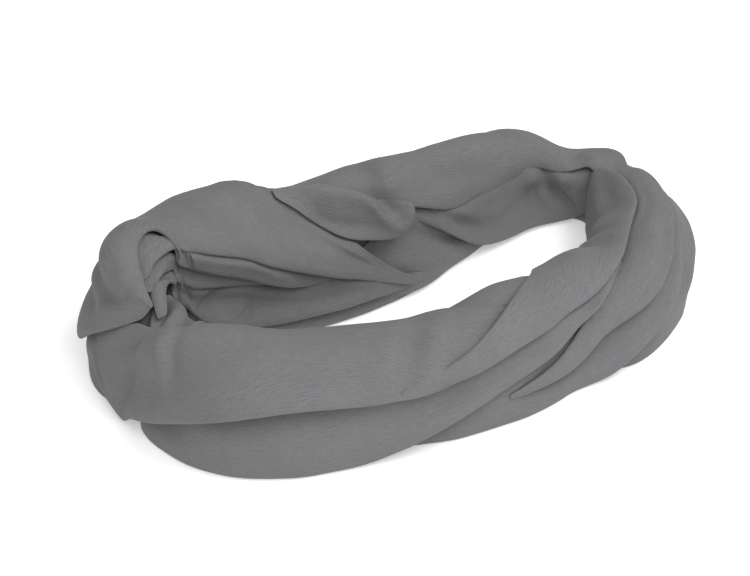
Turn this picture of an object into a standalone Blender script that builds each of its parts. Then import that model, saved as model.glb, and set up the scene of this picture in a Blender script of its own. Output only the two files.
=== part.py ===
"""A plain tube bandana, gathered into a ring and laid down on a flat surface.

The layers hidden inside the heap are one rounded ring, the core. Each stretch of
cloth that shows is a thin closed wall lying over it. A place on the heap is given
by turn, the direction round the ring in degrees (0 right, 90 back, 180 left,
270 front), and by share, the way from the inner foot (0) over the crest (0.5)
to the outer foot (1). All sizes are in millimetres.
"""

import bpy
import numpy as np

MM = 0.001

WALL = 2.2  # a stretch is the cloth folded double, with some air
THIN = 1.1  # its thickness where it runs out under its neighbours
RUN_OUT = 9.0  # degrees of turn over which it thins
GAP = 0.9  # clear space between a stretch and what it lies on
FLOOR = 0.3  # how far an edge stays above the table
STEP = 5.0  # degrees of turn between the sections of a stretch
FEWEST = 9  # even a short stretch has this many parts between its sections
CORE_STEP = 6.0
CORE_ACROSS = 22
SPAN = 4.6  # distance between the points across a stretch
CURVE = 2.8  # how square the heap's section is: 2 is an ellipse
NEAR_TURN = 1  # cells of the height map that a stretch clears beside itself
NEAR_SHARE = 1
PASSES = 8  # how far a stretch bridges the dips under it

COLOUR = (0.19, 0.19, 0.195, 1.0)

# The core: its mid-line in plan, half its width, its height and how far its
# crest leans outwards.
RING = (
    # turn, x, y, half, height, lean
    (0, 98.9, 15.8, 16.2, 24.0, -1.6),
    (15, 100.1, 37.3, 14.8, 25.4, 1.0),
    (30, 98.2, 54.0, 10.1, 22.7, -0.9),
    (45, 84.7, 62.9, 5.8, 20.5, -3.7),
    (57, 64.9, 65.3, 6.3, 38.3, -1.5),
    (70, 31.8, 53.8, 8.1, 40.5, 0.4),
    (85, 2.3, 40.7, 12.9, 47.5, 2.4),
    (100, -28.7, 34.1, 13.3, 46.2, 1.8),
    (125, -58.4, 32.0, 13.5, 51.2, 2.7),
    (150, -85.9, 28.8, 13.6, 47.7, 1.1),
    (165, -97.6, 19.9, 12.6, 48.0, -2.9),
    (180, -99.1, 4.7, 13.2, 38.2, -4.5),
    (195, -91.9, -11.0, 11.5, 37.3, -2.1),
    (215, -87.0, -26.3, 13.0, 37.9, -0.7),
    (240, -65.4, -43.2, 15.3, 42.1, 0.2),
    (270, -8.0, -43.9, 13.0, 37.3, 3.5),
    (290, 23.0, -40.5, 12.8, 41.7, -2.2),
    (312, 50.2, -29.7, 10.4, 35.6, -1.5),
    (330, 72.1, -19.9, 16.0, 31.0, -1.6),
    (345, 85.8, -2.1, 19.0, 27.0, -0.8),
)

# The stretches, from the lowest to the uppermost. A row gives the two edges of
# the stretch at one turn as shares, how far it bulges in the middle and how far
# one edge stands off, plus for the outer edge and minus for the inner one.
STRETCHES = {
    "back_lower": (
        # turn, inner, outer, bulge, curl
        (60, 0.80, 0.96, 0.4, 0.0),
        (70, 0.74, 0.975, 0.8, 0.0),
        (100, 0.72, 0.995, 1.0, 0.0),
        (130, 0.73, 0.995, 1.4, 0.0),
        (155, 0.76, 0.995, 1.0, 0.0),
        (168, 0.78, 0.995, 1.0, 0.0),
        (178, 0.84, 0.995, 0.6, 0.0),
        (186, 0.88, 0.995, 0.4, 0.0),
        (192, 0.92, 0.975, 0.2, 0.0),
    ),
    "inner_hem": (
        (62, 0.03, 0.07, 0.0, 0.0),
        (70, 0.015, 0.09, 0.2, 0.0),
        (80, 0.01, 0.10, 0.4, -0.2),
        (100, 0.01, 0.12, 0.4, -0.4),
        (120, 0.01, 0.13, 0.4, -0.4),
        (135, 0.02, 0.15, 0.4, -0.4),
        (143, 0.05, 0.17, 0.2, 0.0),
    ),
    "inner_left": (
        (146, 0.06, 0.1, 0.0, 0.0),
        (156, 0.03, 0.16, 0.2, 0.0),
        (166, 0.02, 0.23, 0.3, 0.0),
        (176, 0.015, 0.31, 0.3, 0.0),
        (184, 0.01, 0.42, 0.4, 0.0),
        (192, 0.01, 0.54, 0.6, 0.0),
        (198, 0.01, 0.585, 0.6, 0.0),
        (204, 0.01, 0.59, 0.6, 0.0),
        (210, 0.01, 0.57, 0.6, 0.0),
        (218, 0.015, 0.5, 0.5, 0.0),
        (226, 0.02, 0.43, 0.4, 0.0),
        (236, 0.05, 0.33, 0.2, 0.0),
        (246, 0.1, 0.24, 0.0, 0.0),
    ),
    "front_inner": (
        (232, 0.08, 0.18, 0.0, 0.0),
        (244, 0.04, 0.27, 0.2, 0.0),
        (256, 0.03, 0.36, 0.4, 0.0),
        (267, 0.03, 0.46, 0.8, 0.0),
        (280, 0.03, 0.52, 0.8, 0.0),
        (295, 0.04, 0.55, 0.8, 0.0),
        (308, 0.08, 0.52, 0.6, 0.0),
        (318, 0.12, 0.46, 0.4, 0.0),
        (324, 0.18, 0.40, 0.0, 0.0),
    ),
    "pleat_outer": (
        (312, 0.945, 0.985, 0.0, 0.0),
        (316, 0.93, 0.995, 0.2, 0.0),
        (320, 0.905, 0.995, 0.2, 0.0),
        (325, 0.85, 0.995, 0.3, 0.0),
        (330, 0.81, 0.995, 0.4, 0.0),
        (335, 0.77, 0.995, 0.6, 0.0),
        (340, 0.725, 0.995, 0.8, 0.0),
        (346, 0.68, 0.995, 1.0, 0.0),
        (352, 0.645, 0.995, 1.2, 0.0),
        (358, 0.615, 0.995, 1.2, 0.0),
        (364, 0.585, 0.995, 1.2, 0.0),
        (372, 0.555, 0.995, 1.2, 0.0),
        (380, 0.54, 0.995, 1.0, 0.0),
        (392, 0.56, 0.995, 0.8, 0.0),
        (405, 0.66, 0.995, 0.8, 0.0),
        (418, 0.72, 0.985, 0.6, 0.0),
        (430, 0.76, 0.975, 0.4, 0.0),
        (436, 0.8, 0.95, 0.0, 0.0),
    ),
    "pleat_under": (
        (260, 0.94, 0.985, 0.0, 0.0),
        (266, 0.87, 0.99, 0.2, 0.0),
        (270, 0.84, 0.995, 0.4, 0.0),
        (276, 0.8, 0.995, 0.6, 0.0),
        (282, 0.77, 0.995, 0.8, 0.0),
        (288, 0.755, 0.995, 0.8, 0.0),
        (294, 0.745, 0.995, 0.6, 0.0),
        (300, 0.74, 0.995, 0.5, 0.0),
        (306, 0.73, 0.995, 0.5, 0.0),
        (312, 0.7, 0.99, 0.6, 0.2),
        (316, 0.675, 0.97, 0.7, 0.4),
        (320, 0.65, 0.945, 0.8, 0.5),
        (325, 0.63, 0.87, 0.8, 0.6),
        (330, 0.615, 0.825, 0.8, 0.6),
        (336, 0.6, 0.77, 0.8, 0.6),
        (342, 0.585, 0.73, 0.8, 0.6),
        (348, 0.57, 0.7, 0.8, 0.6),
        (356, 0.555, 0.66, 0.6, 0.5),
        (364, 0.54, 0.61, 0.4, 0.4),
        (372, 0.53, 0.58, 0.2, 0.2),
        (380, 0.55, 0.585, 0.0, 0.0),
    ),
    "pleat_thin": (
        (342, 0.485, 0.505, 0.0, 0.0),
        (350, 0.465, 0.505, 0.2, 0.0),
        (358, 0.445, 0.5, 0.4, 0.0),
        (365, 0.43, 0.49, 0.4, 0.0),
        (372, 0.42, 0.475, 0.3, 0.0),
        (379, 0.41, 0.45, 0.2, 0.0),
        (384, 0.415, 0.435, 0.0, 0.0),
    ),
    "pleat_knuckle": (
        (286, 0.86, 0.875, 0.0, 0.0),
        (290, 0.85, 0.875, 0.0, 0.0),
        (294, 0.83, 0.865, 0.2, 0.0),
        (299, 0.8, 0.855, 0.4, 0.2),
        (304, 0.765, 0.84, 0.6, 0.3),
        (308, 0.72, 0.815, 0.8, 0.6),
        (312, 0.67, 0.77, 1.0, 0.8),
        (317, 0.615, 0.725, 1.2, 1.0),
        (322, 0.57, 0.7, 1.4, 1.0),
        (327, 0.545, 0.685, 1.4, 1.0),
        (332, 0.525, 0.67, 1.4, 0.8),
        (338, 0.505, 0.66, 1.4, 0.6),
        (344, 0.485, 0.65, 1.2, 0.4),
        (350, 0.48, 0.635, 1.0, 0.2),
        (356, 0.48, 0.615, 0.8, 0.0),
        (363, 0.48, 0.585, 0.6, 0.0),
        (370, 0.47, 0.56, 0.4, 0.0),
        (377, 0.46, 0.54, 0.2, 0.0),
        (384, 0.46, 0.52, 0.0, 0.0),
    ),
    "front_lower": (
        (193, 0.95, 0.985, 0.0, 0.0),
        (198, 0.92, 0.99, 0.0, 0.0),
        (204, 0.88, 0.995, 0.2, 0.0),
        (213, 0.81, 0.995, 0.6, 0.0),
        (221, 0.755, 0.995, 1.0, 0.0),
        (232, 0.70, 0.995, 1.4, 0.0),
        (244, 0.655, 0.995, 1.6, 0.0),
        (255, 0.655, 0.99, 1.4, 0.0),
        (261, 0.655, 0.945, 1.2, 0.2),
        (266, 0.65, 0.895, 1.2, 0.4),
        (270, 0.64, 0.86, 1.2, 0.6),
        (275, 0.635, 0.83, 1.2, 0.8),
        (280, 0.63, 0.80, 1.2, 0.8),
        (286, 0.62, 0.78, 1.2, 0.8),
        (292, 0.605, 0.76, 1.2, 0.8),
        (299, 0.59, 0.73, 1.2, 0.6),
        (305, 0.58, 0.685, 1.0, 0.4),
        (311, 0.565, 0.635, 0.6, 0.2),
        (317, 0.555, 0.6, 0.4, 0.0),
        (322, 0.545, 0.575, 0.2, 0.0),
        (328, 0.535, 0.552, 0.0, 0.0),
    ),
    "front_panel": (
        (172, 0.8, 0.875, 0.0, 0.0),
        (176, 0.745, 0.875, 0.2, 0.0),
        (180, 0.69, 0.89, 0.3, 0.0),
        (184, 0.64, 0.91, 0.4, 0.0),
        (188, 0.605, 0.945, 0.5, 0.0),
        (193, 0.585, 0.975, 0.6, 0.0),
        (198, 0.58, 0.965, 0.6, 0.0),
        (204, 0.56, 0.925, 0.6, -0.2),
        (211, 0.525, 0.87, 0.6, -0.3),
        (218, 0.48, 0.82, 0.6, -0.2),
        (226, 0.42, 0.775, 0.6, 0.0),
        (236, 0.33, 0.725, 0.6, 0.6),
        (248, 0.25, 0.695, 0.6, 0.6),
        (256, 0.235, 0.7, 0.6, 0.5),
        (263, 0.26, 0.7, 0.6, 0.2),
        (268, 0.33, 0.69, 0.4, 0.0),
        (273, 0.42, 0.68, 0.4, 0.0),
        (278, 0.5, 0.66, 0.2, 0.0),
        (283, 0.545, 0.63, 0.0, 0.0),
        (288, 0.56, 0.6, 0.0, 0.0),
        (292, 0.565, 0.585, 0.0, 0.0),
    ),
    "pleat_spindle": (
        (262, 0.68, 0.7, 0.0, 0.0),
        (267, 0.655, 0.685, 0.0, 0.0),
        (272, 0.635, 0.67, 0.2, 0.2),
        (279, 0.61, 0.665, 0.4, 0.4),
        (285, 0.58, 0.655, 0.6, 0.6),
        (290, 0.555, 0.65, 0.8, 0.8),
        (296, 0.525, 0.64, 1.0, 0.8),
        (302, 0.49, 0.605, 1.2, 0.8),
        (308, 0.43, 0.59, 1.4, 0.8),
        (314, 0.36, 0.575, 1.4, 0.6),
        (320, 0.28, 0.565, 1.2, 0.6),
        (326, 0.21, 0.55, 1.0, 0.4),
        (333, 0.14, 0.525, 0.8, 0.4),
        (342, 0.08, 0.505, 0.8, 0.4),
        (350, 0.05, 0.485, 0.8, 0.4),
        (357, 0.04, 0.465, 0.8, 0.4),
        (363, 0.04, 0.45, 0.8, 0.4),
        (370, 0.06, 0.43, 0.6, 0.4),
        (375, 0.18, 0.425, 0.4, 0.2),
        (380, 0.28, 0.42, 0.2, 0.0),
        (385, 0.35, 0.42, 0.0, 0.0),
        (391, 0.4, 0.42, 0.0, 0.0),
    ),
    "rear_foot": (
        (56, 0.03, 0.06, 0.0, 0.0),
        (62, 0.03, 0.13, 0.0, 0.0),
        (68, 0.03, 0.20, 0.2, 0.0),
        (74, 0.03, 0.26, 0.2, 0.0),
        (80, 0.03, 0.31, 0.2, 0.0),
        (85, 0.03, 0.34, 0.2, 0.0),
        (89, 0.04, 0.30, 0.0, 0.0),
        (93, 0.06, 0.22, 0.0, 0.0),
        (96, 0.08, 0.15, 0.0, 0.0),
    ),
    "inner_pleat_3": (
        (82, 0.07, 0.095, 0.0, 0.0),
        (85, 0.07, 0.11, 0.0, 0.0),
        (89, 0.08, 0.15, 0.2, 0.0),
        (94, 0.09, 0.2, 0.4, -0.2),
        (99, 0.09, 0.225, 0.8, -0.4),
        (111, 0.085, 0.26, 1.2, -0.6),
        (117, 0.085, 0.27, 1.4, -0.6),
        (127, 0.09, 0.28, 1.4, -0.8),
        (135, 0.12, 0.29, 1.2, -0.8),
        (142, 0.18, 0.305, 0.8, -0.6),
        (150, 0.22, 0.34, 0.6, -0.4),
        (160, 0.27, 0.39, 0.6, -0.4),
        (172, 0.33, 0.415, 0.2, 0.0),
        (179, 0.4, 0.45, 0.0, 0.0),
        (185, 0.447, 0.484, 0.0, 0.0),
        (191, 0.478, 0.512, 0.0, 0.0),
        (197, 0.51, 0.535, 0.0, 0.0),
    ),
    "inner_pleat_2": (
        (104, 0.23, 0.255, 0.0, 0.0),
        (111, 0.23, 0.27, 0.2, 0.0),
        (119, 0.24, 0.29, 0.4, -0.2),
        (127, 0.25, 0.315, 0.6, -0.4),
        (135, 0.265, 0.345, 0.8, -0.4),
        (141, 0.275, 0.37, 0.8, -0.4),
        (146, 0.29, 0.385, 0.8, -0.4),
        (153, 0.32, 0.41, 0.6, -0.4),
        (163, 0.36, 0.445, 0.6, -0.2),
        (173, 0.41, 0.475, 0.4, 0.0),
        (181, 0.45, 0.49, 0.2, 0.0),
        (187, 0.475, 0.508, 0.0, 0.0),
    ),
    "inner_pleat_1": (
        (97, 0.20, 0.25, 0.2, 0.0),
        (101, 0.205, 0.29, 0.4, -0.2),
        (106, 0.22, 0.315, 0.6, -0.4),
        (111, 0.24, 0.335, 0.8, -0.6),
        (119, 0.26, 0.355, 1.0, -0.6),
        (126, 0.285, 0.375, 1.0, -0.6),
        (133, 0.31, 0.395, 1.0, -0.6),
        (140, 0.34, 0.42, 1.0, -0.6),
        (147, 0.36, 0.44, 0.8, -0.6),
        (155, 0.385, 0.46, 0.8, -0.4),
        (165, 0.42, 0.485, 0.6, -0.2),
        (175, 0.455, 0.51, 0.4, 0.0),
        (184, 0.485, 0.52, 0.0, 0.0),
    ),
    "rear_right_under": (
        (30, 0.22, 0.44, 0.0, 0.0),
        (38, 0.12, 0.46, 0.0, 0.0),
        (45, 0.07, 0.475, 0.0, -0.2),
        (50, 0.04, 0.45, 0.0, -0.4),
        (57, 0.045, 0.40, 0.0, -0.6),
        (64, 0.05, 0.375, 0.0, -0.8),
        (69, 0.10, 0.375, 0.0, -0.8),
        (75, 0.21, 0.375, 0.0, -0.6),
        (80, 0.28, 0.385, 0.0, -0.4),
        (84, 0.325, 0.40, 0.0, 0.0),
        (88, 0.36, 0.41, 0.0, 0.0),
    ),
    "rear_right_drape": (
        (19, 0.47, 0.52, 0.0, 0.0),
        (24, 0.415, 0.545, 0.0, 0.0),
        (29, 0.42, 0.575, 0.0, 0.0),
        (33, 0.44, 0.605, 0.0, 0.0),
        (38, 0.455, 0.64, 0.2, -0.4),
        (45, 0.455, 0.72, 0.2, -0.8),
        (53, 0.40, 0.77, 0.4, -1.0),
        (58, 0.355, 0.79, 0.4, -1.2),
        (63, 0.305, 0.80, 0.4, -1.4),
        (68, 0.325, 0.81, 0.4, -1.6),
        (73, 0.31, 0.81, 0.4, -1.8),
        (77, 0.325, 0.80, 0.4, -1.8),
        (81, 0.35, 0.80, 0.4, -1.4),
        (84, 0.37, 0.79, 0.4, -1.0),
        (88, 0.38, 0.78, 0.4, -0.4),
        (93, 0.37, 0.78, 0.2, 0.0),
        (98, 0.40, 0.76, 0.2, 0.0),
        (104, 0.46, 0.78, 0.0, 0.0),
        (110, 0.50, 0.80, 0.0, 0.0),
        (118, 0.56, 0.82, 0.0, 0.0),
        (126, 0.64, 0.82, 0.0, 0.0),
        (132, 0.71, 0.80, 0.0, 0.0),
    ),
    "rear_left_drape": (
        (84, 0.08, 0.10, 0.0, 0.0),
        (88, 0.12, 0.165, 0.0, 0.0),
        (92, 0.175, 0.26, 0.2, -0.2),
        (96, 0.215, 0.35, 0.4, -0.4),
        (100, 0.245, 0.42, 0.4, -0.6),
        (104, 0.275, 0.47, 0.6, -0.8),
        (108, 0.295, 0.52, 0.8, -1.0),
        (113, 0.31, 0.58, 0.8, -1.2),
        (120, 0.33, 0.67, 0.4, -1.4),
        (130, 0.36, 0.77, 0.0, -1.4),
        (140, 0.39, 0.83, 0.2, -1.2),
        (149, 0.41, 0.87, 0.5, -0.8),
        (155, 0.43, 0.89, 0.7, -0.7),
        (160, 0.445, 0.90, 0.6, -0.6),
        (165, 0.465, 0.90, 0.6, -0.4),
        (170, 0.485, 0.87, 0.4, 0.2),
        (174, 0.50, 0.81, 0.4, 0.3),
        (177, 0.505, 0.75, 0.4, 0.3),
        (180, 0.51, 0.70, 0.4, 0.3),
        (184, 0.515, 0.64, 0.2, 0.2),
        (188, 0.52, 0.595, 0.0, 0.0),
        (192, 0.53, 0.56, 0.0, 0.0),
    ),
    "rolled_fold": (
        (83.6, 0.345, 0.375, 0.0, 0.0),
        (85, 0.29, 0.385, 0.0, 0.0),
        (86.5, 0.275, 0.385, 0.0, 0.0),
        (88.5, 0.285, 0.395, -0.2, 0.2),
        (90.5, 0.30, 0.415, -0.4, 0.2),
        (93, 0.32, 0.435, -0.6, 0.2),
        (96, 0.345, 0.45, -0.8, 0.2),
        (99, 0.385, 0.462, -0.8, 0.0),
        (103, 0.435, 0.48, -0.6, 0.0),
        (108, 0.47, 0.49, -0.4, 0.0),
    ),
}

SHARES = np.linspace(0.0, 1.0, 161)
MAP_TURN = 2.0
MAP_SHARE = 0.01
ON_TOP = np.zeros((int(360 / MAP_TURN), int(1 / MAP_SHARE) + 1))


def smooth(at, values, where):
    """A smooth line through the values that never overshoots them."""
    at = np.asarray(at, float)
    values = np.asarray(values, float)
    gap = np.diff(at)
    rise = np.diff(values) / gap
    slope = np.zeros(len(at))
    same = rise[:-1] * rise[1:] > 0
    first = 2 * gap[1:] + gap[:-1]
    second = gap[1:] + 2 * gap[:-1]
    safe = np.where(rise == 0, 1.0, rise)
    mean = (first + second) / (first / safe[:-1] + second / safe[1:])
    slope[1:-1] = np.where(same, mean, 0.0)
    return along(at, values, slope, where)


def along(at, values, slope, where):
    """The cubic line with these values and slopes."""
    where = np.clip(where, at[0], at[-1])
    i = np.clip(np.searchsorted(at, where, side="right") - 1, 0, len(at) - 2)
    gap = at[i + 1] - at[i]
    t = (where - at[i]) / gap
    start = values[i] * (2 * t**3 - 3 * t**2 + 1) + slope[i] * gap * (t**3 - 2 * t**2 + t)
    end = values[i + 1] * (3 * t**2 - 2 * t**3) + slope[i + 1] * gap * (t**3 - t**2)
    return start + end


def round_ring(column, turn):
    """A column of RING at any turn, smooth all the way round."""
    rows = [(r[0] - 360, r[column]) for r in RING]
    rows += [(r[0], r[column]) for r in RING]
    rows += [(r[0] + 360, r[column]) for r in RING]
    at, values = np.array(rows, float).T
    gap = np.diff(at)
    rise = np.diff(values) / gap
    slope = np.zeros(len(at))
    slope[1:-1] = (rise[:-1] * gap[1:] + rise[1:] * gap[:-1]) / (gap[1:] + gap[:-1])
    return along(at, values, slope, np.mod(turn, 360.0))


def section(turn):
    """The core's section: how far out, how high and which way it faces at SHARES."""
    half = round_ring(3, turn)
    height = round_ring(4, turn)
    lean = round_ring(5, turn)
    angle = np.linspace(0, np.pi, 181)
    up = height * np.sin(angle).clip(0) ** (2 / CURVE)
    out = -half * np.sign(np.cos(angle)) * np.abs(np.cos(angle)) ** (2 / CURVE)
    out = out + lean * up / height
    way = np.concatenate([[0], np.cumsum(np.hypot(np.diff(out), np.diff(up)))])
    share = way / way[-1]
    near = 0.02
    before = np.clip(SHARES - near, 0, 1)
    after = np.clip(SHARES + near, 0, 1)
    along_out = np.interp(after, share, out) - np.interp(before, share, out)
    along_up = np.interp(after, share, up) - np.interp(before, share, up)
    size = np.hypot(along_out, along_up)
    return {
        "out": np.interp(SHARES, share, out),
        "up": np.interp(SHARES, share, up),
        "face_out": -along_up / size,
        "face_up": along_out / size,
        "length": way[-1],
    }


def place(turn, share, lift):
    """Points of one section, in millimetres: share and lift are arrays."""
    shape = section(turn)
    middle = np.array([round_ring(1, turn), round_ring(2, turn)])
    ahead = np.array([round_ring(1, turn + 0.5), round_ring(2, turn + 0.5)])
    behind = np.array([round_ring(1, turn - 0.5), round_ring(2, turn - 0.5)])
    way = (ahead - behind) / np.linalg.norm(ahead - behind)
    outward = np.array([way[1], -way[0]])
    face_out = np.interp(share, SHARES, shape["face_out"])
    face_up = np.interp(share, SHARES, shape["face_up"])
    out = np.interp(share, SHARES, shape["out"]) + lift * face_out
    up = np.interp(share, SHARES, shape["up"]) + lift * face_up
    flat = middle[None, :] + out[:, None] * outward[None, :]
    return np.column_stack([flat, up])


def under(turn, share):
    """The height of what already lies there, with some room beside it."""
    row = int(round(turn / MAP_TURN))
    cell = int(round(share / MAP_SHARE))
    rows = [(row + k) % len(ON_TOP) for k in range(-NEAR_TURN, NEAR_TURN + 1)]
    low = max(cell - NEAR_SHARE, 0)
    return ON_TOP[rows, low : cell + NEAR_SHARE + 1].max()


def lay(rest):
    """The cloth resting on these heights, bridging the dips between them."""
    lift = rest.copy()
    for _ in range(PASSES):
        wide = np.pad(lift, 1, mode="edge")
        mean = 0.5 * lift + 0.125 * (
            wide[:-2, 1:-1] + wide[2:, 1:-1] + wide[1:-1, :-2] + wide[1:-1, 2:]
        )
        lift = np.maximum(rest, mean)
    return lift


def shape_of(rows):
    """Where a stretch lies: its turns, edges and the heights of its underside."""
    table = np.array(rows, float)
    count = max(int(round((table[-1, 0] - table[0, 0]) / STEP)), FEWEST)
    turns = np.linspace(table[0, 0], table[-1, 0], count + 1)
    inner, outer, bulge, curl = (
        smooth(table[:, 0], table[:, k], turns) for k in (1, 2, 3, 4)
    )
    lengths = np.array([section(t)["length"] for t in turns])
    across = int(np.clip(round((outer - inner).max() * lengths.mean() / SPAN), 3, 11))
    part = np.linspace(0, 1, across + 1)
    shares = inner[:, None] + (outer - inner)[:, None] * part[None, :]
    rest = np.array([[under(t, s) for s in line] for t, line in zip(turns, shares)])
    lift = lay(rest + GAP)
    lift += bulge[:, None] * 4 * part * (1 - part)
    lift += np.maximum(curl, 0)[:, None] * part**3
    lift += np.maximum(-curl, 0)[:, None] * (1 - part) ** 3
    ends = np.minimum(turns - turns[0], turns[-1] - turns)
    thick = THIN + (WALL - THIN) * np.clip(ends / RUN_OUT, 0, 1)
    return turns, shares, lift, thick, lengths


def mark(turns, shares, lift, thick, lengths):
    """Writes the top of a stretch into the height map."""
    part = np.linspace(0, 1, shares.shape[1])
    for turn in np.arange(turns[0], turns[-1] + MAP_TURN / 4, MAP_TURN / 2):
        inner = np.interp(turn, turns, shares[:, 0])
        outer = np.interp(turn, turns, shares[:, -1])
        deep = np.interp(turn, turns, thick)
        margin = deep / 2 / np.interp(turn, turns, lengths)
        top = [np.interp(turn, turns, lift[:, k]) + deep for k in range(len(part))]
        row = int(round(turn / MAP_TURN)) % len(ON_TOP)
        low = max(int(np.floor((inner - margin) / MAP_SHARE)), 0)
        high = min(int(np.ceil((outer + margin) / MAP_SHARE)), ON_TOP.shape[1] - 1)
        cells = np.arange(low, high + 1)
        where = (cells * MAP_SHARE - inner) / (outer - inner)
        here = np.interp(where, part, top)
        ON_TOP[row, cells] = np.maximum(ON_TOP[row, cells], here)


def wall(turn, shares, lift, thick, length):
    """The closed outline of a stretch at one turn, with rounded edges."""
    radius = thick / 2
    nose = np.radians([-30, 30])
    outer_share = shares[-1] + radius * np.cos(nose) / length
    inner_share = shares[0] - radius * np.cos(nose) / length
    share = np.concatenate([shares, outer_share[::-1], shares[::-1], inner_share])
    rise = radius + radius * np.sin(nose)
    lifts = np.concatenate(
        [lift + thick, lift[-1] + rise[::-1], lift[::-1], lift[0] + rise]
    )
    points = place(turn, np.clip(share, 0, 1), lifts)
    points[:, 2] = np.maximum(points[:, 2], FLOOR)
    return points


def loft(sections, ring):
    """Vertices and faces through the sections: a closed ring, or capped ends."""
    count = len(sections[0])
    faces = []
    for i in range(len(sections) - (0 if ring else 1)):
        here = i * count
        there = (i + 1) % len(sections) * count
        for k in range(count):
            j = (k + 1) % count
            faces.append((here + k, here + j, there + j, there + k))
    if not ring:
        faces.append(tuple(range(count - 1, -1, -1)))
        faces.append(tuple(range((len(sections) - 1) * count, len(sections) * count)))
    return np.concatenate(sections), faces


def core():
    """The hidden layers: one rounded ring with a flat foot."""
    share = np.linspace(0, 1, CORE_ACROSS + 1)
    turns = np.arange(0, 360, CORE_STEP)
    foot = np.array([[0.62], [0.38]])
    sections = []
    for turn in turns:
        points = place(turn, share, np.zeros(len(share)))
        points[[0, -1], 2] = 0.0
        middle = foot * points[-1] + (1 - foot) * points[0]
        sections.append(np.concatenate([points, middle]))
    return loft(sections, True)


def material(name):
    made = bpy.data.materials.new(name)
    made.use_nodes = True
    surface = made.node_tree.nodes["Principled BSDF"]
    surface.inputs["Base Color"].default_value = COLOUR
    surface.inputs["Roughness"].default_value = 0.9
    return made


def add(name, points, faces):
    mesh = bpy.data.meshes.new(name)
    mesh.from_pydata([tuple(p) for p in points * MM], [], faces)
    mesh.update()
    mesh.materials.append(material(name))
    bpy.context.scene.collection.objects.link(bpy.data.objects.new(name, mesh))


def main():
    for old in list(bpy.data.objects):
        bpy.data.objects.remove(old)
    solids = {"core": core()}
    for name, rows in STRETCHES.items():
        laid = shape_of(rows)
        mark(*laid)
        solids[name] = loft([wall(*line) for line in zip(*laid)], False)
    every = np.concatenate([points for points, _ in solids.values()])
    centre = (every.min(axis=0) + every.max(axis=0)) / 2
    centre[2] = 0.0
    for name, (points, faces) in solids.items():
        add(name, points - centre, faces)


main()
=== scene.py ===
"""Looks for a plain grey tube bandana, gathered into a ring and laid down flat.

Every stretch of cloth starts as a smooth copy of its solid. A place on the heap is
given as in the solids: by turn, the direction round the ring in degrees (0 right,
90 back, 180 left, 270 front), and by share, the way from the inner foot (0) over the
crest (0.5) to the outer foot (1). Lengths in the tables are in millimetres and areas
in square millimetres.
"""

import math

import bmesh
import bpy
import numpy as np
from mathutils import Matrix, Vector, kdtree, noise


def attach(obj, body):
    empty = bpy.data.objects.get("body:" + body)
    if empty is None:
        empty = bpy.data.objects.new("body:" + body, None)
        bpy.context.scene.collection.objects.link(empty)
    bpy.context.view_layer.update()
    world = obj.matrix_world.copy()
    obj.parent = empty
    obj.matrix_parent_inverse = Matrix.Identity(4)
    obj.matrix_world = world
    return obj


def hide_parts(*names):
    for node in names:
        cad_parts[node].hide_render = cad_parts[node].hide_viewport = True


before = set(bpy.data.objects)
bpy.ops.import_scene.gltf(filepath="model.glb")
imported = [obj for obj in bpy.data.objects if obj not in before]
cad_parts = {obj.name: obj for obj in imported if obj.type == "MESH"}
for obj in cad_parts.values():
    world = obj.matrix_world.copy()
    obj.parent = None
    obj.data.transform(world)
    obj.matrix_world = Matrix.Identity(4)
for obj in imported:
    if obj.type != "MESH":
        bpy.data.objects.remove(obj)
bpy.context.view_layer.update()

MM = 0.001
CURVE = 2.8  # how square the heap's section is
SHARE_STEP = 0.01  # between the points that are worked out of a section
CREST = 50  # which of those points is the crest
NOWHERE = 1e9  # further off than anything here

# The middle line of the heap in plan, half its width, its height and its lean.
RING = (
    # turn, x, y, half, height, lean
    (0, 99.1, 10.1, 16.2, 24.0, -1.6),
    (15, 100.3, 31.6, 14.8, 25.4, 1.0),
    (30, 98.4, 48.3, 10.1, 22.7, -0.9),
    (45, 84.9, 57.2, 5.8, 20.5, -3.7),
    (57, 65.1, 59.6, 6.3, 38.3, -1.5),
    (70, 32.0, 48.1, 8.1, 40.5, 0.4),
    (85, 2.5, 35.0, 12.9, 47.5, 2.4),
    (100, -28.5, 28.4, 13.3, 46.2, 1.8),
    (125, -58.2, 26.3, 13.5, 51.2, 2.7),
    (150, -85.7, 23.1, 13.6, 47.7, 1.1),
    (165, -97.4, 14.2, 12.6, 48.0, -2.9),
    (180, -98.9, -1.0, 13.2, 38.2, -4.5),
    (195, -91.7, -16.7, 11.5, 37.3, -2.1),
    (215, -86.8, -32.0, 13.0, 37.9, -0.7),
    (240, -65.2, -48.9, 15.3, 42.1, 0.2),
    (270, -7.8, -49.6, 13.0, 37.3, 3.5),
    (290, 23.2, -46.2, 12.8, 41.7, -2.2),
    (312, 50.4, -35.4, 10.4, 35.6, -1.5),
    (330, 72.3, -25.6, 16.0, 31.0, -1.6),
    (345, 86.0, -7.8, 19.0, 27.0, -0.8),
)

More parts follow.
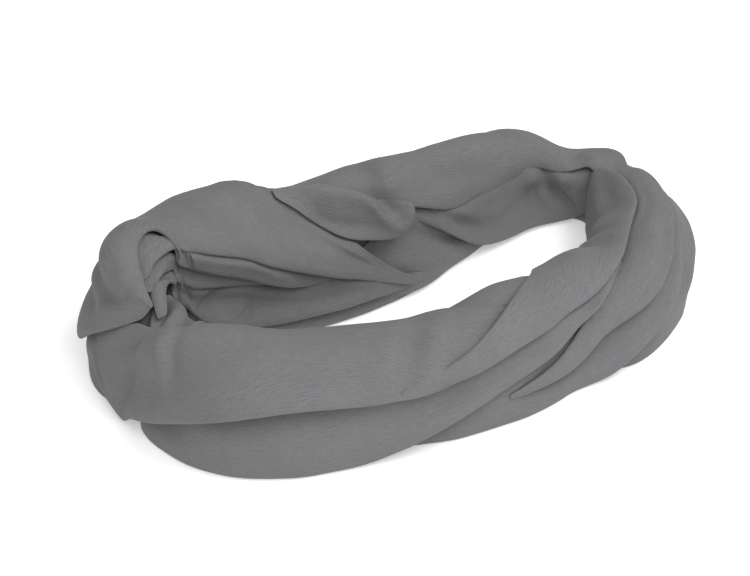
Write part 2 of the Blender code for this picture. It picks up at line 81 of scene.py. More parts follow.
# The stretches in the order in which they are laid: where the cloth starts round the
# ring, how fine its mesh is, how much it wavers, and the cut of what shows of it: its
# widest, its length, its area.
STRETCHES = {
    # start, levels, waver, widest, along, area
    "core": (-8, 2, 0.0, 0, 0, 0),
    "back_lower": (50, 2, 0.8, 32, 195, 5890),
    "inner_hem": (52, 2, 0.8, 15, 137, 1880),
    "inner_left": (136, 3, 0.8, 58, 105, 2690),
    "front_inner": (222, 2, 0.8, 51, 144, 5410),
    "pleat_outer": (302, 2, 0.8, 46, 193, 5870),
    "pleat_under": (250, 2, 0.8, 30, 177, 3820),
    "pleat_thin": (332, 2, 0.8, 10, 60, 380),
    "pleat_knuckle": (276, 2, 0.8, 17, 137, 2230),
    "front_lower": (183, 2, 0.8, 34, 186, 5150),
    "front_panel": (162, 2, 0.8, 47, 162, 7260),
    "pleat_spindle": (252, 2, 0.8, 44, 184, 4730),
    "rear_foot": (46, 2, 0.8, 32, 94, 2180),
    "inner_pleat_3": (72, 3, 0.8, 20, 145, 2100),
    "inner_pleat_2": (94, 3, 0.8, 10, 90, 820),
    "inner_pleat_1": (87, 3, 0.8, 15, 98, 1350),
    "rear_right_under": (20, 2, 0.8, 41, 111, 2530),
    "rear_right_drape": (9, 2, 0.8, 50, 186, 8440),
    "rear_left_drape": (74, 2, 0.8, 55, 136, 7210),
    "rolled_fold": (73, 3, 0.8, 20, 46, 890),
}

# The creases, as troughs (depth below 0) and ridges (above 0). near is the width on
# the hole's side of the line and far on the outer side. A trough is pressed into all
# the stretches that were laid before as well, so that none comes up through it.
CREASES = {
    # depth, near, far, the line's turns and shares
    "front_panel": (
        (-1.6, 2.2, 2.8, ((378, 0.54), (367, 0.57), (355, 0.61), (340, 0.64), (328, 0.66), (318, 0.70))),
        (1.6, 2.0, 2.0, ((209, 0.51), (212, 0.58), (215, 0.64), (218, 0.73))),
        (-1.1, 2.4, 2.4, ((214, 0.52), (217, 0.59), (220, 0.66))),
        (1.1, 3.0, 3.0, ((263, 0.50), (261, 0.56), (259, 0.62), (257, 0.67))),
        (-2.5, 2.8, 2.8, ((268, 0.49), (266, 0.55), (264, 0.61), (261, 0.69))),
        (1.8, 3.4, 4.0, ((276, 0.48), (272, 0.54), (269, 0.60), (265, 0.67))),
        (-1.6, 1.5, 2.2, ((183, 0.76), (185, 0.73), (190, 0.67), (198, 0.61), (209, 0.56))),
        (-1.2, 2.0, 2.0, ((176, 0.76), (178, 0.80), (181, 0.85), (186, 0.90))),
        (1.0, 2.0, 2.4, ((180, 0.76), (184, 0.82), (189, 0.88))),
        (-0.9, 5.0, 6.0, ((222, 0.58), (236, 0.60), (252, 0.57))),
    ),
    "front_lower": (
        (-2.8, 4.0, 7.0, ((226, 0.76), (238, 0.74), (248, 0.73), (257, 0.74))),
        (1.1, 3.0, 3.0, ((240, 0.90), (256, 0.87), (270, 0.81), (284, 0.75))),
        (-1.0, 2.4, 2.4, ((262, 0.80), (274, 0.76), (288, 0.70), (299, 0.66))),
        (-1.2, 5.0, 5.0, ((196, 0.86), (210, 0.84), (224, 0.88))),
        (1.0, 5.0, 4.0, ((204, 0.93), (216, 0.91), (230, 0.93))),
    ),
    "pleat_under": (
        (-1.2, 3.0, 3.0, ((284, 0.90), (300, 0.86), (312, 0.82), (322, 0.76))),
        (1.1, 3.0, 3.0, ((296, 0.95), (310, 0.92), (322, 0.86), (334, 0.76))),
    ),
    "pleat_outer": (
        (2.0, 3.0, 3.0, ((340, 0.88), (356, 0.82), (374, 0.80), (392, 0.83))),
        (-2.8, 2.4, 3.2, ((348, 0.95), (368, 0.90), (386, 0.90), (406, 0.88))),
        (-2.4, 2.6, 2.6, ((370, 0.71), (388, 0.74), (404, 0.80), (422, 0.86))),
    ),
    "pleat_knuckle": (
        (1.5, 3.0, 3.0, ((306, 0.76), (314, 0.68), (324, 0.63), (338, 0.60), (354, 0.56))),
        (-1.1, 2.0, 2.0, ((322, 0.67), (332, 0.64), (346, 0.61), (360, 0.55))),
        (-1.0, 1.8, 2.0, ((330, 0.56), (342, 0.54), (356, 0.52), (372, 0.49))),
        (1.8, 2.5, 2.5, ((318, 0.69), (323, 0.68), (329, 0.67), (334, 0.65))),
    ),
    "pleat_spindle": (
        (-1.8, 2.6, 2.6, ((353, 0.10), (350, 0.20), (347, 0.30), (343, 0.40), (340, 0.50))),
        (1.2, 4.0, 4.0, ((340, 0.22), (331, 0.34), (320, 0.44), (306, 0.54), (292, 0.60))),
        (-1.0, 2.4, 2.4, ((338, 0.40), (328, 0.47), (314, 0.54), (300, 0.59))),
        (1.1, 3.0, 3.0, ((384, 0.37), (372, 0.32), (362, 0.30), (354, 0.30))),
        (-1.0, 2.2, 2.2, ((380, 0.40), (368, 0.38), (358, 0.38), (350, 0.42))),
    ),
    "front_inner": (
        (-1.5, 4.0, 4.0, ((262, 0.12), (280, 0.18), (300, 0.24), (316, 0.22))),
        (1.1, 3.0, 3.0, ((270, 0.24), (288, 0.32), (306, 0.36))),
    ),
    "back_lower": (
        (-2.8, 2.6, 3.2, ((70, 0.87), (90, 0.84), (112, 0.86), (130, 0.90))),
        (2.0, 3.0, 3.4, ((96, 0.92), (116, 0.94), (138, 0.93))),
        (-2.8, 2.4, 3.0, ((132, 0.82), (148, 0.85), (164, 0.90))),
    ),
    "rear_right_under": (
        (-2.8, 2.6, 2.0, ((55, 0.43), (52, 0.40), (48, 0.33), (43, 0.23), (37, 0.10))),
        (1.5, 4.0, 3.0, ((60, 0.38), (57, 0.33), (52, 0.24), (47, 0.14))),
        (1.9, 3.6, 3.6, ((75, 0.27), (69, 0.24), (64, 0.22), (60, 0.24), (56, 0.30), (53, 0.36))),
        (-2.0, 3.0, 3.0, ((84, 0.37), (80, 0.32), (72, 0.23), (68, 0.16), (65, 0.09))),
        (2.2, 4.0, 4.0, ((78, 0.36), (69, 0.35), (60, 0.36), (52, 0.42), (42, 0.43))),
    ),
    "rear_foot": (
        (-1.1, 2.4, 2.4, ((86, 0.27), (83, 0.24), (76, 0.17), (70, 0.14), (64, 0.08))),
        (1.1, 3.0, 3.0, ((88, 0.17), (82, 0.13), (74, 0.09))),
    ),
    "rear_right_drape": (
        (-2.8, 3.0, 2.6, ((87, 0.54), (87.5, 0.50), (88, 0.46), (89.5, 0.43), (90, 0.40))),
        (-1.5, 4.0, 5.0, ((87, 0.57), (82, 0.57), (77, 0.57), (73, 0.56))),
        (2.2, 3.4, 3.4, ((84, 0.50), (85, 0.47), (85.5, 0.44), (85.5, 0.40))),
        (-2.2, 3.0, 3.4, ((62, 0.60), (60, 0.50), (58, 0.46), (56, 0.42), (54, 0.38))),
        (-2.0, 1.8, 2.2, ((60, 0.55), (54, 0.50), (49, 0.49), (45, 0.48), (38, 0.49))),
        (2.8, 5.0, 7.0, ((70, 0.62), (60, 0.60), (50, 0.58), (42, 0.57), (32, 0.55))),
        (1.8, 5.0, 6.0, ((50, 0.57), (44, 0.56), (38, 0.55), (33, 0.53), (29, 0.52))),
        (-3.2, 5.0, 5.0, ((29, 0.50), (25, 0.50), (20, 0.50), (15, 0.50))),
        (1.8, 6.0, 7.0, ((84, 0.46), (77, 0.49), (70, 0.50), (63, 0.50))),
        (-1.5, 3.0, 4.0, ((82, 0.38), (76, 0.42), (70, 0.42), (64, 0.38))),
        (-3.2, 2.6, 3.6, ((60, 0.72), (74, 0.66), (90, 0.64), (104, 0.68))),
        (2.2, 3.6, 3.6, ((52, 0.66), (66, 0.61), (80, 0.59))),
        (-3.0, 2.4, 3.2, ((76, 0.77), (92, 0.73), (108, 0.74), (122, 0.78))),
    ),
    "rear_left_drape": (
        (-1.2, 4.0, 5.0, ((164, 0.48), (150, 0.49), (134, 0.46), (118, 0.42), (104, 0.37))),
        (1.2, 3.0, 4.0, ((160, 0.57), (168, 0.55), (176, 0.54), (186, 0.545))),
        (-1.8, 2.4, 3.0, ((162, 0.62), (170, 0.61), (178, 0.60), (184, 0.58))),
        (-2.0, 3.0, 3.0, ((160, 0.76), (167, 0.72), (173, 0.68), (178, 0.66))),
        (1.1, 2.6, 2.6, ((160, 0.69), (168, 0.66), (175, 0.63))),
        (-1.4, 2.4, 2.4, ((110, 0.47), (103, 0.38), (96, 0.28), (90, 0.18))),
        (-3.2, 2.6, 3.8, ((112, 0.58), (126, 0.61), (140, 0.66), (154, 0.74))),
        (2.2, 3.6, 3.6, ((120, 0.55), (138, 0.58), (152, 0.64))),
        (-2.8, 2.4, 3.2, ((126, 0.70), (144, 0.76), (160, 0.83))),
    ),
    "rolled_fold": (
        (2.6, 2.4, 2.0, ((106, 0.49), (99, 0.465), (95, 0.445), (92, 0.43),
                         (90, 0.40), (89, 0.36), (87.5, 0.325), (86, 0.295))),
        (2.2, 1.8, 1.8, ((84.0, 0.38), (84.7, 0.35), (85.2, 0.32), (86, 0.29))),
        (-3.2, 2.6, 2.6, ((89.5, 0.44), (88.5, 0.41), (87.4, 0.375), (86.7, 0.34))),
        (-2.6, 3.0, 3.0, ((104, 0.44), (99, 0.40), (95, 0.365), (92, 0.345), (89.5, 0.315))),
    ),
    "inner_left": (
        (-2.5, 1.8, 1.8, ((180, 0.40), (188, 0.44), (194, 0.50), (200, 0.56))),
        (1.5, 2.0, 2.0, ((186, 0.38), (194, 0.44), (200, 0.50), (207, 0.56))),
        (-2.8, 1.6, 1.6, ((192, 0.36), (201, 0.43), (207, 0.48), (214, 0.53))),
        (1.8, 2.0, 2.0, ((198, 0.34), (208, 0.42), (216, 0.48), (222, 0.50))),
        (-2.2, 2.0, 2.4, ((206, 0.28), (216, 0.36), (226, 0.40))),
        (1.2, 3.0, 3.0, ((166, 0.08), (178, 0.14), (190, 0.18), (204, 0.22))),
        (-1.8, 3.0, 3.0, ((172, 0.16), (184, 0.24), (196, 0.30))),
    ),
    "inner_pleat_3": (
        (3.0, 3.0, 3.4, ((198, 0.53), (180, 0.42), (160, 0.34), (142, 0.26), (124, 0.22), (106, 0.19))),
        (1.0, 2.4, 2.4, ((106, 0.20), (98, 0.20), (92, 0.16), (85, 0.11))),
        (-2.0, 2.0, 2.0, ((145, 0.16), (139, 0.19), (133, 0.24), (128, 0.27))),
        (-1.6, 2.0, 2.0, ((129, 0.10), (125, 0.13), (121, 0.18))),
        (-1.2, 2.4, 2.4, ((136, 0.22), (120, 0.17), (106, 0.14), (94, 0.13))),
    ),
    "inner_pleat_2": (
        (2.0, 2.0, 2.0, ((184, 0.46), (170, 0.43), (155, 0.38), (142, 0.34), (124, 0.28), (108, 0.25))),
    ),
    "inner_pleat_1": (
        (2.0, 2.2, 2.4, ((182, 0.49), (172, 0.45), (156, 0.41), (139, 0.375), (124, 0.32), (104, 0.26))),
    ),
    "inner_hem": (
        (1.5, 4.0, 4.0, ((82, 0.04), (92, 0.01), (100, 0.01), (110, 0.03), (118, 0.06))),
        (-1.0, 2.0, 2.0, ((98, 0.06), (112, 0.09), (128, 0.11))),
    ),
}

ORDER = list(STRETCHES)

CREASE_END = 0.02  # the least share of a crease's length that counts in its fading
CREASE_FADE = 0.6  # below 1, a crease keeps its height for longer towards its ends

GRAIN_STEP = 4.0  # degrees of turn between the places where the grain's line is read
LEAST_RUN = 0.5  # what that line runs on from place to place, at the least

TIP = 15.0  # degrees of turn over which the end of a stretch runs out
TIP_DROP = 1.1  # how far its underside settles there
TIP_THICK = 0.3  # how much of its thickness is left
TIP_STEP = 2.0  # degrees of turn between the places where the underside is read
FULL_TOP = "pleat_spindle"  # its last end lies under others, at full height

EVENING = 0.6  # how far each round of evening draws a point to its neighbours
ROUNDS = 6  # of evening, for the turns, shares and facings of a stretch
HEIGHT_ROUNDS = 2  # of evening, for its heights

SLOW_SWELL = 26.0  # how long the swells of a stretch are
QUICK_SWELL = 11.0  # and the smaller ones on them
QUICK_PART = 0.35  # how high these are beside the slow ones
LOWEST = 0.15  # no cloth lies closer to the floor
SAME_POINT = 0.00001  # in metres

EDGE_STEP = 4.0  # degrees of turn between the places where a free edge is read
EDGE_REACH = 3.5  # degrees of turn that are searched for it on either side of them
ROLL_INSIDE = 0.8  # how far inside its edge a roll stands, in parts of its width
DIP_OUTSIDE = 1.2  # how far outside the edge the cloth below dips
DIP_WIDTH = 0.8  # how wide that dip is, in parts of the roll's width

# The free edges that show as rolls: which stretch, its inner (0) or outer (1) edge,
# how far the roll stands up and how wide it is, and how far the cloth below dips. A
# rise below 0 settles the edge on that cloth, and a dip below 0 raises the cloth.
LIPS = (
    # stretch, side, rise, width, dip
    ("front_panel", 1, 1.4, 6.0, 1.4),
    ("front_lower", 1, 1.2, 5.0, 1.0),
    ("pleat_knuckle", 1, 1.2, 3.6, 1.0),
    ("pleat_knuckle", 0, -0.6, 3.0, -0.8),
    ("pleat_under", 1, 1.0, 4.0, 1.0),
    ("pleat_spindle", 1, 0.6, 4.0, -1.8),
    ("pleat_spindle", 0, -0.2, 4.0, -0.9),
    ("rear_left_drape", 0, -1.0, 3.6, -0.9),
    ("rear_left_drape", 1, -1.6, 4.0, -1.2),
    ("rear_right_drape", 0, -2.2, 5.0, -2.8),
    ("rolled_fold", 0, -1.8, 4.0, -2.4),
    ("rolled_fold", 1, -1.4, 2.4, -0.6),
    ("inner_pleat_1", 0, 1.0, 3.0, 0.4),
    ("inner_pleat_2", 0, 1.0, 3.0, 0.4),
    ("inner_pleat_3", 0, 1.0, 3.0, 0.4),
)

GREY = (0.148, 0.148, 0.152)

# The studio, in metres, watts and degrees.
FLOOR_SIZE = 6.0
FLOOR_DROP = 0.0003  # how far the floor lies below the cloth
WORLD_LIGHT = 0.58
LAMPS = (
    # name, place, size, power
    ("key", (0.55, -0.4, 1.15), 0.6, 8.5),
    ("fill", (-0.6, -0.7, 1.0), 1.0, 1.0),
    ("front", (-0.05, -0.8, 0.85), 0.5, 4.5),
)
CAMERA_LENS = 126  # in millimetres
CAMERA_SIDE = -17  # round from the front, and below 0 is to the left
CAMERA_RISE = 36  # above the floor
CAMERA_AWAY = 0.95
CAMERA_AIM = (-0.010343, -0.002240, 0.024)


def ring_line(column, turn):
    """A column of RING at these turns, smooth all the way round."""
    rows = [(r[0] + lap, r[column]) for lap in (-360, 0, 360) for r in RING]
    at, values = np.array(rows, float).T
    gap = np.diff(at)
    rise = np.diff(values) / gap
    slope = np.zeros(len(at))
    slope[1:-1] = (rise[:-1] * gap[1:] + rise[1:] * gap[:-1]) / (gap[1:] + gap[:-1])
    turn = np.mod(turn, 360.0)
    i = np.clip(np.searchsorted(at, turn, side="right") - 1, 0, len(at) - 2)
    gap = gap[i]
    t = (turn - at[i]) / gap
    start = values[i] * (2 * t**3 - 3 * t**2 + 1) + slope[i] * gap * (t**3 - 2 * t**2 + t)
    return start + values[i + 1] * (3 * t**2 - 2 * t**3) + slope[i + 1] * gap * (t**3 - t**2)


class Heap:
    """The rounded heap under the cloth: finds the turn and share of any point."""

    def __init__(self):
        self.turns = np.arange(0.0, 360.0, 1.0)
        self.shares = np.linspace(0.0, 1.0, 2 * CREST + 1)
        angle = np.linspace(0, np.pi, 181)
        middle = np.stack([ring_line(1, self.turns), ring_line(2, self.turns)], axis=1)
        way = np.roll(middle, -1, axis=0) - np.roll(middle, 1, axis=0)
        pace = np.linalg.norm(way, axis=1) / 2
        way /= np.linalg.norm(way, axis=1)[:, None]
        outward = np.stack([way[:, 1], -way[:, 0]], axis=1)
        points = []
        self.length = np.zeros(len(self.turns))
        for i, turn in enumerate(self.turns):
            half, height, lean = (float(ring_line(k, turn)) for k in (3, 4, 5))
            up = height * np.sin(angle).clip(0) ** (2 / CURVE)
            out = -half * np.sign(np.cos(angle)) * np.abs(np.cos(angle)) ** (2 / CURVE)
            out = out + lean * up / height
            steps = np.hypot(np.diff(out), np.diff(up))
            run = np.concatenate([[0], np.cumsum(steps)])
            self.length[i] = run[-1]
            out = np.interp(self.shares, run / run[-1], out)
            up = np.interp(self.shares, run / run[-1], up)
            flat = middle[i] + out[:, None] * outward[i]
            points.append(np.column_stack([flat, up]))
        self.points = np.array(points)
        self.round = np.concatenate([[0], np.cumsum(pace)])
        ahead = np.roll(self.points, -1, axis=0) - np.roll(self.points, 1, axis=0)
        self.ahead = ahead / 2
        self.over = np.gradient(self.points, axis=1)
        face = np.cross(self.ahead, self.over)
        face /= np.maximum(np.linalg.norm(face, axis=2), 1e-9)[:, :, None]
        self.face = face * np.sign(face[:, CREST, 2])[:, None, None]
        self.tree = kdtree.KDTree(len(self.turns) * len(self.shares))
        for k, point in enumerate(self.points.reshape(-1, 3)):
            self.tree.insert(Vector(point), k)
        self.tree.balance()

    def where(self, points, start):
        """Turn, share, facing and height over the heap; the turn runs on from start."""
        near = np.array([self.tree.find(Vector(p))[1] for p in points])
        row, cell = near // len(self.shares), near % len(self.shares)
        off = points - self.points[row, cell]
        ahead, over = self.ahead[row, cell], self.over[row, cell]
        more = (off * ahead).sum(1) / np.maximum((ahead**2).sum(1), 1e-6)
        wide = (off * over).sum(1) / np.maximum((over**2).sum(1), 1e-6)
        turn = self.turns[row] + np.clip(more, -1, 1)
        share = (cell + np.clip(wide, -1, 1)) * SHARE_STEP
        turn = start + np.mod(turn - start, 360.0)
        height = (off * self.face[row, cell]).sum(1)
        return turn, np.clip(share, 0, 1), self.face[row, cell], height

    def run(self, turn):
        """How far round the ring a turn is, in millimetres."""
        laps = np.floor(turn / 360.0)
        part = np.interp(turn - 360 * laps, np.arange(361), self.round)
        return part + laps * self.round[-1]

    def across(self, turn):
        """The length of the heap's section there, in millimetres."""
        return np.interp(np.mod(turn, 360), np.append(self.turns, 360),
                         np.append(self.length, self.length[0]))


heap = Heap()


def crease(turn, share, depth, near, far, line):
    """How much a crease along this line lifts the cloth, in millimetres."""
    line = np.array(line, float)
    scale = float(heap.across(line[:, 0].mean()))
    ends = np.column_stack([heap.run(line[:, 0]), line[:, 1] * scale])
    here = np.column_stack([heap.run(turn), share * scale])
    best = np.full(len(here), NOWHERE)
    side = np.zeros(len(here))
    along = np.zeros(len(here))
    steps = np.linalg.norm(np.diff(ends, axis=0), axis=1)
    done = 0.0
    for a, b, step in zip(ends[:-1], ends[1:], steps):
        way = (b - a) / step
        t = np.clip((here - a) @ way, 0, step)
        off = here - a - t[:, None] * way
        distance = np.linalg.norm(off, axis=1)
        closer = distance < best
        best = np.where(closer, distance, best)
        side = np.where(closer, off[:, 1] * abs(way[0]) - off[:, 0] * way[1], side)
        along = np.where(closer, (done + t) / steps.sum(), along)
        done += step
    width = np.where(side < 0, near, far)
    fade = np.sin(np.pi * np.clip(along, CREASE_END, 1 - CREASE_END)) ** CREASE_FADE
    return depth * fade * np.exp(-((best / width) ** 2))


def points_of(mesh):
    """The points of a mesh, in millimetres."""
    places = np.empty(len(mesh.vertices) * 3, np.float32)
    mesh.vertices.foreach_get("co", places)
    return places.reshape(-1, 3).astype(float) / MM


def evened(mesh, values, rounds):
    """Values at the points of a mesh, each drawn towards its neighbours."""
    ends = np.empty(len(mesh.edges) * 2, int)
    mesh.edges.foreach_get("vertices", ends)
    one, other = ends.reshape(-1, 2).T
    count = np.bincount(one, minlength=len(values)) + np.bincount(other, minlength=len(values))
    flat = values.reshape(len(values), -1).astype(float)
    for _ in range(rounds):
        total = np.zeros_like(flat)
        np.add.at(total, one, flat[other])
        np.add.at(total, other, flat[one])
        flat = (1 - EVENING) * flat + EVENING * total / count[:, None]
    return flat.reshape(values.shape)


def edge_lines(node, start):
    """The inner and outer edges of a stretch, as turns and shares, from its solid."""
    points = np.unique(np.round(points_of(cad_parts[node].data), 3), axis=0)
    turn, share, _, _ = heap.where(points, start)
    stops = np.arange(turn.min() + 2, turn.max() - 1, EDGE_STEP)
    lines = []
    for side in (np.min, np.max):
        edge = []
        for stop in stops:
            close = share[np.abs(turn - stop) < EDGE_REACH]
            edge.append(side(close) if len(close) else np.nan)
        lines.append(np.array(edge))
    known = ~np.isnan(lines[0])
    stops = stops[known]
    kept = []
    for edge in lines:
        edge = np.convolve(np.pad(edge[known], 1, mode="edge"), (0.25, 0.5, 0.25), "valid")
        kept.append(np.column_stack([stops, edge]))
    return kept


def lips(node, turn, share):
    """The rolls along the free edges, and the dips of the cloth under them."""
    lift = np.zeros(len(turn))
    for name, side, rise, width, dip in LIPS:
        if ORDER.index(name) < ORDER.index(node):
            continue
        line = EDGES[name][side]
        inward = 1 if side == 0 else -1
        scale = float(heap.across(line[:, 0].mean()))
        if name == node:
            inside = ROLL_INSIDE * width if rise > 0 else 0.0
            inner = line + np.array([0, inward * inside / scale])
            lift += crease(turn, share, rise, width, width, inner)
        else:
            outer = line - np.array([0, inward * DIP_OUTSIDE / scale])
            lift += crease(turn, share, -dip, DIP_WIDTH * width, DIP_WIDTH * width, outer)
    return lift


def run_out(node, turn, height):
    """How much a stretch flattens on the cloth below where its ends run out."""
    first, last = turn.min(), turn.max()
    to_last = np.full(len(turn), TIP) if node == FULL_TOP else last - turn
    close = np.clip(np.minimum(turn - first, to_last) / TIP, 0, 1)
    close = close**2 * (3 - 2 * close)
    place = (turn - first) / TIP_STEP
    bins = np.round(place).astype(int)
    lowest = np.full(bins.max() + 1, NOWHERE)
    np.minimum.at(lowest, bins, height)
    filled = np.flatnonzero(lowest < NOWHERE)
    underside = np.interp(place, filled, lowest[filled])
    tip = underside - TIP_DROP + (height - underside) * TIP_THICK
    return (1 - close) * (tip - height)


def waver(points, amount):
    """Low uneven swells, so that no stretch lies quite smooth."""
    if not amount:
        return np.zeros(len(points))
    slow = [noise.noise(Vector(p) / SLOW_SWELL) for p in points]
    quick = [noise.noise(Vector(p) / QUICK_SWELL + Vector((7, 3, 5))) for p in points]
    return amount * (np.array(slow) + QUICK_PART * np.array(quick))


def knit(name, shade):
    """Fine knitted cloth: long flecks along the stretch, and a soft bump of wales."""
    made = bpy.data.materials.new(name)
    made.use_nodes = True
    nodes, links = made.node_tree.nodes, made.node_tree.links
    surface = nodes["Principled BSDF"]
    surface.inputs["Roughness"].default_value = 0.92
    surface.inputs["Specular IOR Level"].default_value = 0.08
    surface.inputs["Sheen Weight"].default_value = 0.08
    surface.inputs["Sheen Roughness"].default_value = 0.45
    surface.inputs["Sheen Tint"].default_value = (0.9, 0.9, 0.92, 1)
    place = nodes.new("ShaderNodeUVMap")
    place.uv_map = "grain"

    def fleck(along, across):
        stretch = nodes.new("ShaderNodeMapping")
        stretch.inputs["Scale"].default_value = (along, across, 1)
        links.new(place.outputs["UV"], stretch.inputs["Vector"])
        dots = nodes.new("ShaderNodeTexNoise")
        dots.inputs["Scale"].default_value = 1.0
        dots.inputs["Detail"].default_value = 2.0
        links.new(stretch.outputs["Vector"], dots.inputs["Vector"])
        return dots.outputs["Fac"]

    def spread(value, low, high, to_low, to_high):
        turned = nodes.new("ShaderNodeMapRange")
        turned.inputs["From Min"].default_value = low
        turned.inputs["From Max"].default_value = high
        turned.inputs["To Min"].default_value = to_low
        turned.inputs["To Max"].default_value = to_high
        links.new(value, turned.inputs["Value"])
        return turned.outputs["Result"]

    def times(a, b):
        both = nodes.new("ShaderNodeMath")
        both.operation = "MULTIPLY"
        links.new(a, both.inputs[0])
        links.new(b, both.inputs[1])
        return both.outputs["Value"]

    wales = nodes.new("ShaderNodeTexWave")
    wales.bands_direction = "Y"
    wales.inputs["Scale"].default_value = 0.4
    wales.inputs["Distortion"].default_value = 1.4
    wales.inputs["Detail"].default_value = 1.0
    wales.inputs["Detail Scale"].default_value = 0.6
    fine = nodes.new("ShaderNodeMapping")
    fine.inputs["Scale"].default_value = (250.0, 1000.0, 1)
    links.new(place.outputs["UV"], fine.inputs["Vector"])
    links.new(fine.outputs["Vector"], wales.inputs["Vector"])

    # How many flecks there are to a metre, along the cloth and across it, and how
    # much darker and lighter than the shade they make it.
    long_flecks = fleck(260.0, 2300.0)
    short_flecks = fleck(1700.0, 3000.0)
    cloudy = fleck(40.0, 90.0)
    tone = spread(long_flecks, 0.3, 0.7, 0.92, 1.08)
    tone = times(tone, spread(short_flecks, 0.3, 0.7, 0.9, 1.1))
    tone = times(tone, spread(cloudy, 0.3, 0.7, 0.96, 1.04))
    tone = times(tone, spread(wales.outputs["Fac"], 0.0, 1.0, 0.98, 1.02))
    colour = nodes.new("ShaderNodeVectorMath")
    colour.operation = "SCALE"
    colour.inputs[0].default_value = shade
    links.new(tone, colour.inputs["Scale"])
    links.new(colour.outputs["Vector"], surface.inputs["Base Color"])

    rough = nodes.new("ShaderNodeMath")
    rough.operation = "ADD"
    links.new(wales.outputs["Fac"], rough.inputs[0])
    links.new(long_flecks, rough.inputs[1])
    bump = nodes.new("ShaderNodeBump")
    bump.inputs["Strength"].default_value = 0.4
    bump.inputs["Distance"].default_value = 0.00006
    links.new(rough.outputs["Value"], bump.inputs["Height"])
    links.new(bump.outputs["Normal"], surface.inputs["Normal"])
    return made


def copy_of(node, levels):
    """A smooth mesh made from a solid's own faces, in quads."""
    mesh = bpy.data.meshes.new(node + "_cloth")
    bm = bmesh.new()
    bm.from_mesh(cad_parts[node].data)
    bmesh.ops.remove_doubles(bm, verts=bm.verts, dist=SAME_POINT)
    bmesh.ops.join_triangles(
        bm, faces=bm.faces, angle_face_threshold=math.pi, angle_shape_threshold=math.pi
    )
    bm.to_mesh(mesh)
    bm.free()
    made = bpy.data.objects.new(node + "_cloth", mesh)
    bpy.context.scene.collection.objects.link(made)
    soft = made.modifiers.new("soft", "SUBSURF")
    soft.levels = levels
    soft.render_levels = levels
    graph = bpy.context.evaluated_depsgraph_get()
    fine = bpy.data.meshes.new_from_object(made.evaluated_get(graph))
    made.modifiers.clear()
    made.data = fine
    bpy.data.meshes.remove(mesh)
    fine.name = node + "_cloth"
    return made


def lean_of(run, shares, turn):
    """How much a stretch that crosses the heap on the slant is narrowed by it."""
    rise = np.gradient(shares) * heap.across(turn).mean()
    return 1 / np.sqrt(1 + (rise / np.maximum(np.gradient(run), LEAST_RUN)) ** 2)


def grain(made, points, turn, share):
    """The cloth's own map, in metres: along the stretch's middle, and across it."""
    mesh = made.data
    place = (turn - turn.min()) / GRAIN_STEP
    bins = np.round(place).astype(int)
    total = np.bincount(bins)
    filled = np.flatnonzero(total)
    every = np.arange(len(total))
    lines = []
    for value in (share, *points.T):
        mean = (np.bincount(bins, value) / np.maximum(total, 1))[filled]
        line = np.interp(every, filled, mean)
        lines.append(np.convolve(np.pad(line, 2, mode="edge"), np.ones(5) / 5, "valid"))
    middle = np.array(lines[1:]).T
    run = np.concatenate([[0], np.cumsum(np.linalg.norm(np.diff(middle, axis=0), axis=1))])
    along = np.interp(place, every, run) * MM
    offset = (share - np.interp(place, every, lines[0])) * heap.across(turn)
    across = offset * np.interp(place, every, lean_of(run, lines[0], turn)) * MM
    corner = np.empty(len(mesh.loops), int)
    mesh.loops.foreach_get("vertex_index", corner)
    spot = np.column_stack([along[corner], across[corner]])
    layer = mesh.uv_layers.new(name="grain")
    layer.data.foreach_set("uv", spot.astype(np.float32).ravel())


def dress(node, start, levels, amount, widest, along, area):
    """One stretch: its smooth copy, its creases, its grain and its knit."""
    made = copy_of(node, levels)
    mesh = made.data
    points = points_of(mesh)
    turn, share, face, height = heap.where(points, start)
    turn = evened(mesh, turn, ROUNDS)
    share = evened(mesh, share, ROUNDS)
    face = evened(mesh, face, ROUNDS)
    face /= np.linalg.norm(face, axis=1)[:, None]
    lift = waver(points, amount)
    for name in ORDER[ORDER.index(node) :]:
        for row in CREASES.get(name, ()):
            if name == node or row[0] < 0:
                lift += crease(turn, share, *row)
    lift += lips(node, turn, share)
    if node != "core":
        lift += run_out(node, turn, evened(mesh, height, HEIGHT_ROUNDS))
    moved = points + lift[:, None] * face
    moved[:, 2] = np.maximum(moved[:, 2], LOWEST)
    mesh.vertices.foreach_set("co", (moved * MM).astype(np.float32).ravel())
    grain(made, points, turn, share)
    mesh.materials.clear()
    mesh.materials.append(cloth)
    mesh.shade_smooth()
    mesh.update()
    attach(made, "root")
    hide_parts(node)


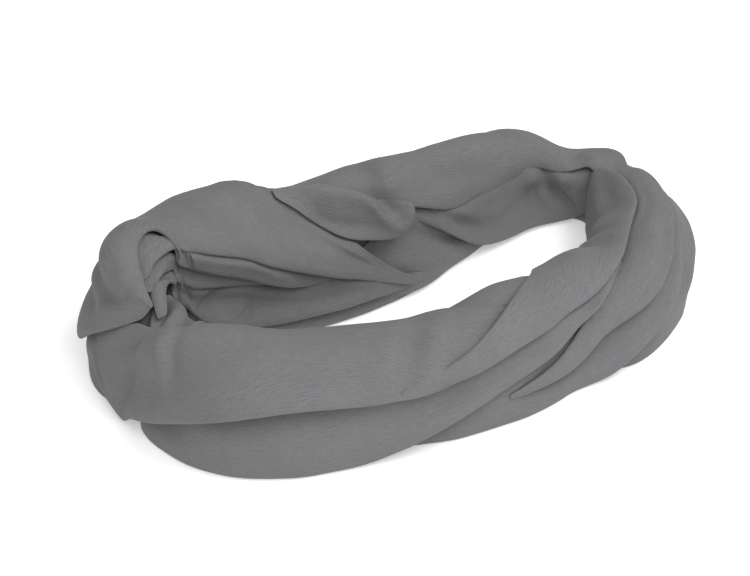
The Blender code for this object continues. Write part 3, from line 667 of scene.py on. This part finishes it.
def matt(name, shade, glow):
    """A dull material that also glows a little."""
    made = bpy.data.materials.new(name)
    made.use_nodes = True
    surface = made.node_tree.nodes["Principled BSDF"]
    surface.inputs["Base Color"].default_value = shade
    surface.inputs["Roughness"].default_value = 1.0
    surface.inputs["Specular IOR Level"].default_value = 0.0
    surface.inputs["Emission Color"].default_value = (1, 1, 1, 1)
    surface.inputs["Emission Strength"].default_value = glow
    return made


def floor():
    """The pale floor under the cloth, just clear of it."""
    mesh = bpy.data.meshes.new("floor")
    bm = bmesh.new()
    bmesh.ops.create_grid(bm, x_segments=1, y_segments=1, size=FLOOR_SIZE)
    bmesh.ops.translate(bm, verts=bm.verts, vec=(0, 0, -FLOOR_DROP))
    bm.to_mesh(mesh)
    bm.free()
    made = bpy.data.objects.new("floor", mesh)
    bpy.context.scene.collection.objects.link(made)
    mesh.materials.append(matt("pale_floor", (0.9, 0.9, 0.9, 1), 0.35))


def lamp(name, at, size, power):
    """A square lamp that faces the origin."""
    light = bpy.data.lights.new(name, "AREA")
    light.size = size
    light.energy = power
    made = bpy.data.objects.new(name, light)
    made.location = at
    made.rotation_euler = (-Vector(at)).to_track_quat("-Z", "Y").to_euler()
    bpy.context.scene.collection.objects.link(made)


def surroundings():
    """The even white light all round."""
    world = bpy.data.worlds.new("studio")
    world.use_nodes = True
    background = world.node_tree.nodes["Background"]
    background.inputs["Color"].default_value = (1, 1, 1, 1)
    background.inputs["Strength"].default_value = WORLD_LIGHT
    bpy.context.scene.world = world
    bpy.context.scene.view_settings.view_transform = "Standard"


def camera():
    """The photograph's view: from the left of the front, looking down."""
    made = bpy.data.cameras.new("camera")
    made.lens = CAMERA_LENS
    made.sensor_width = 36
    holder = bpy.data.objects.new("camera", made)
    side, rise = math.radians(CAMERA_SIDE), math.radians(CAMERA_RISE)
    back = Vector(
        (math.sin(side) * math.cos(rise), -math.cos(side) * math.cos(rise), math.sin(rise))
    )
    holder.location = Vector(CAMERA_AIM) + CAMERA_AWAY * back
    holder.rotation_euler = back.to_track_quat("Z", "Y").to_euler()
    bpy.context.scene.collection.objects.link(holder)
    bpy.context.scene.camera = holder


cloth = knit("grey_knit", GREY)
EDGES = {name: edge_lines(name, STRETCHES[name][0]) for name in {row[0] for row in LIPS}}
for node, row in STRETCHES.items():
    dress(node, *row)

floor()
for row in LAMPS:
    lamp(*row)
surroundings()
camera()
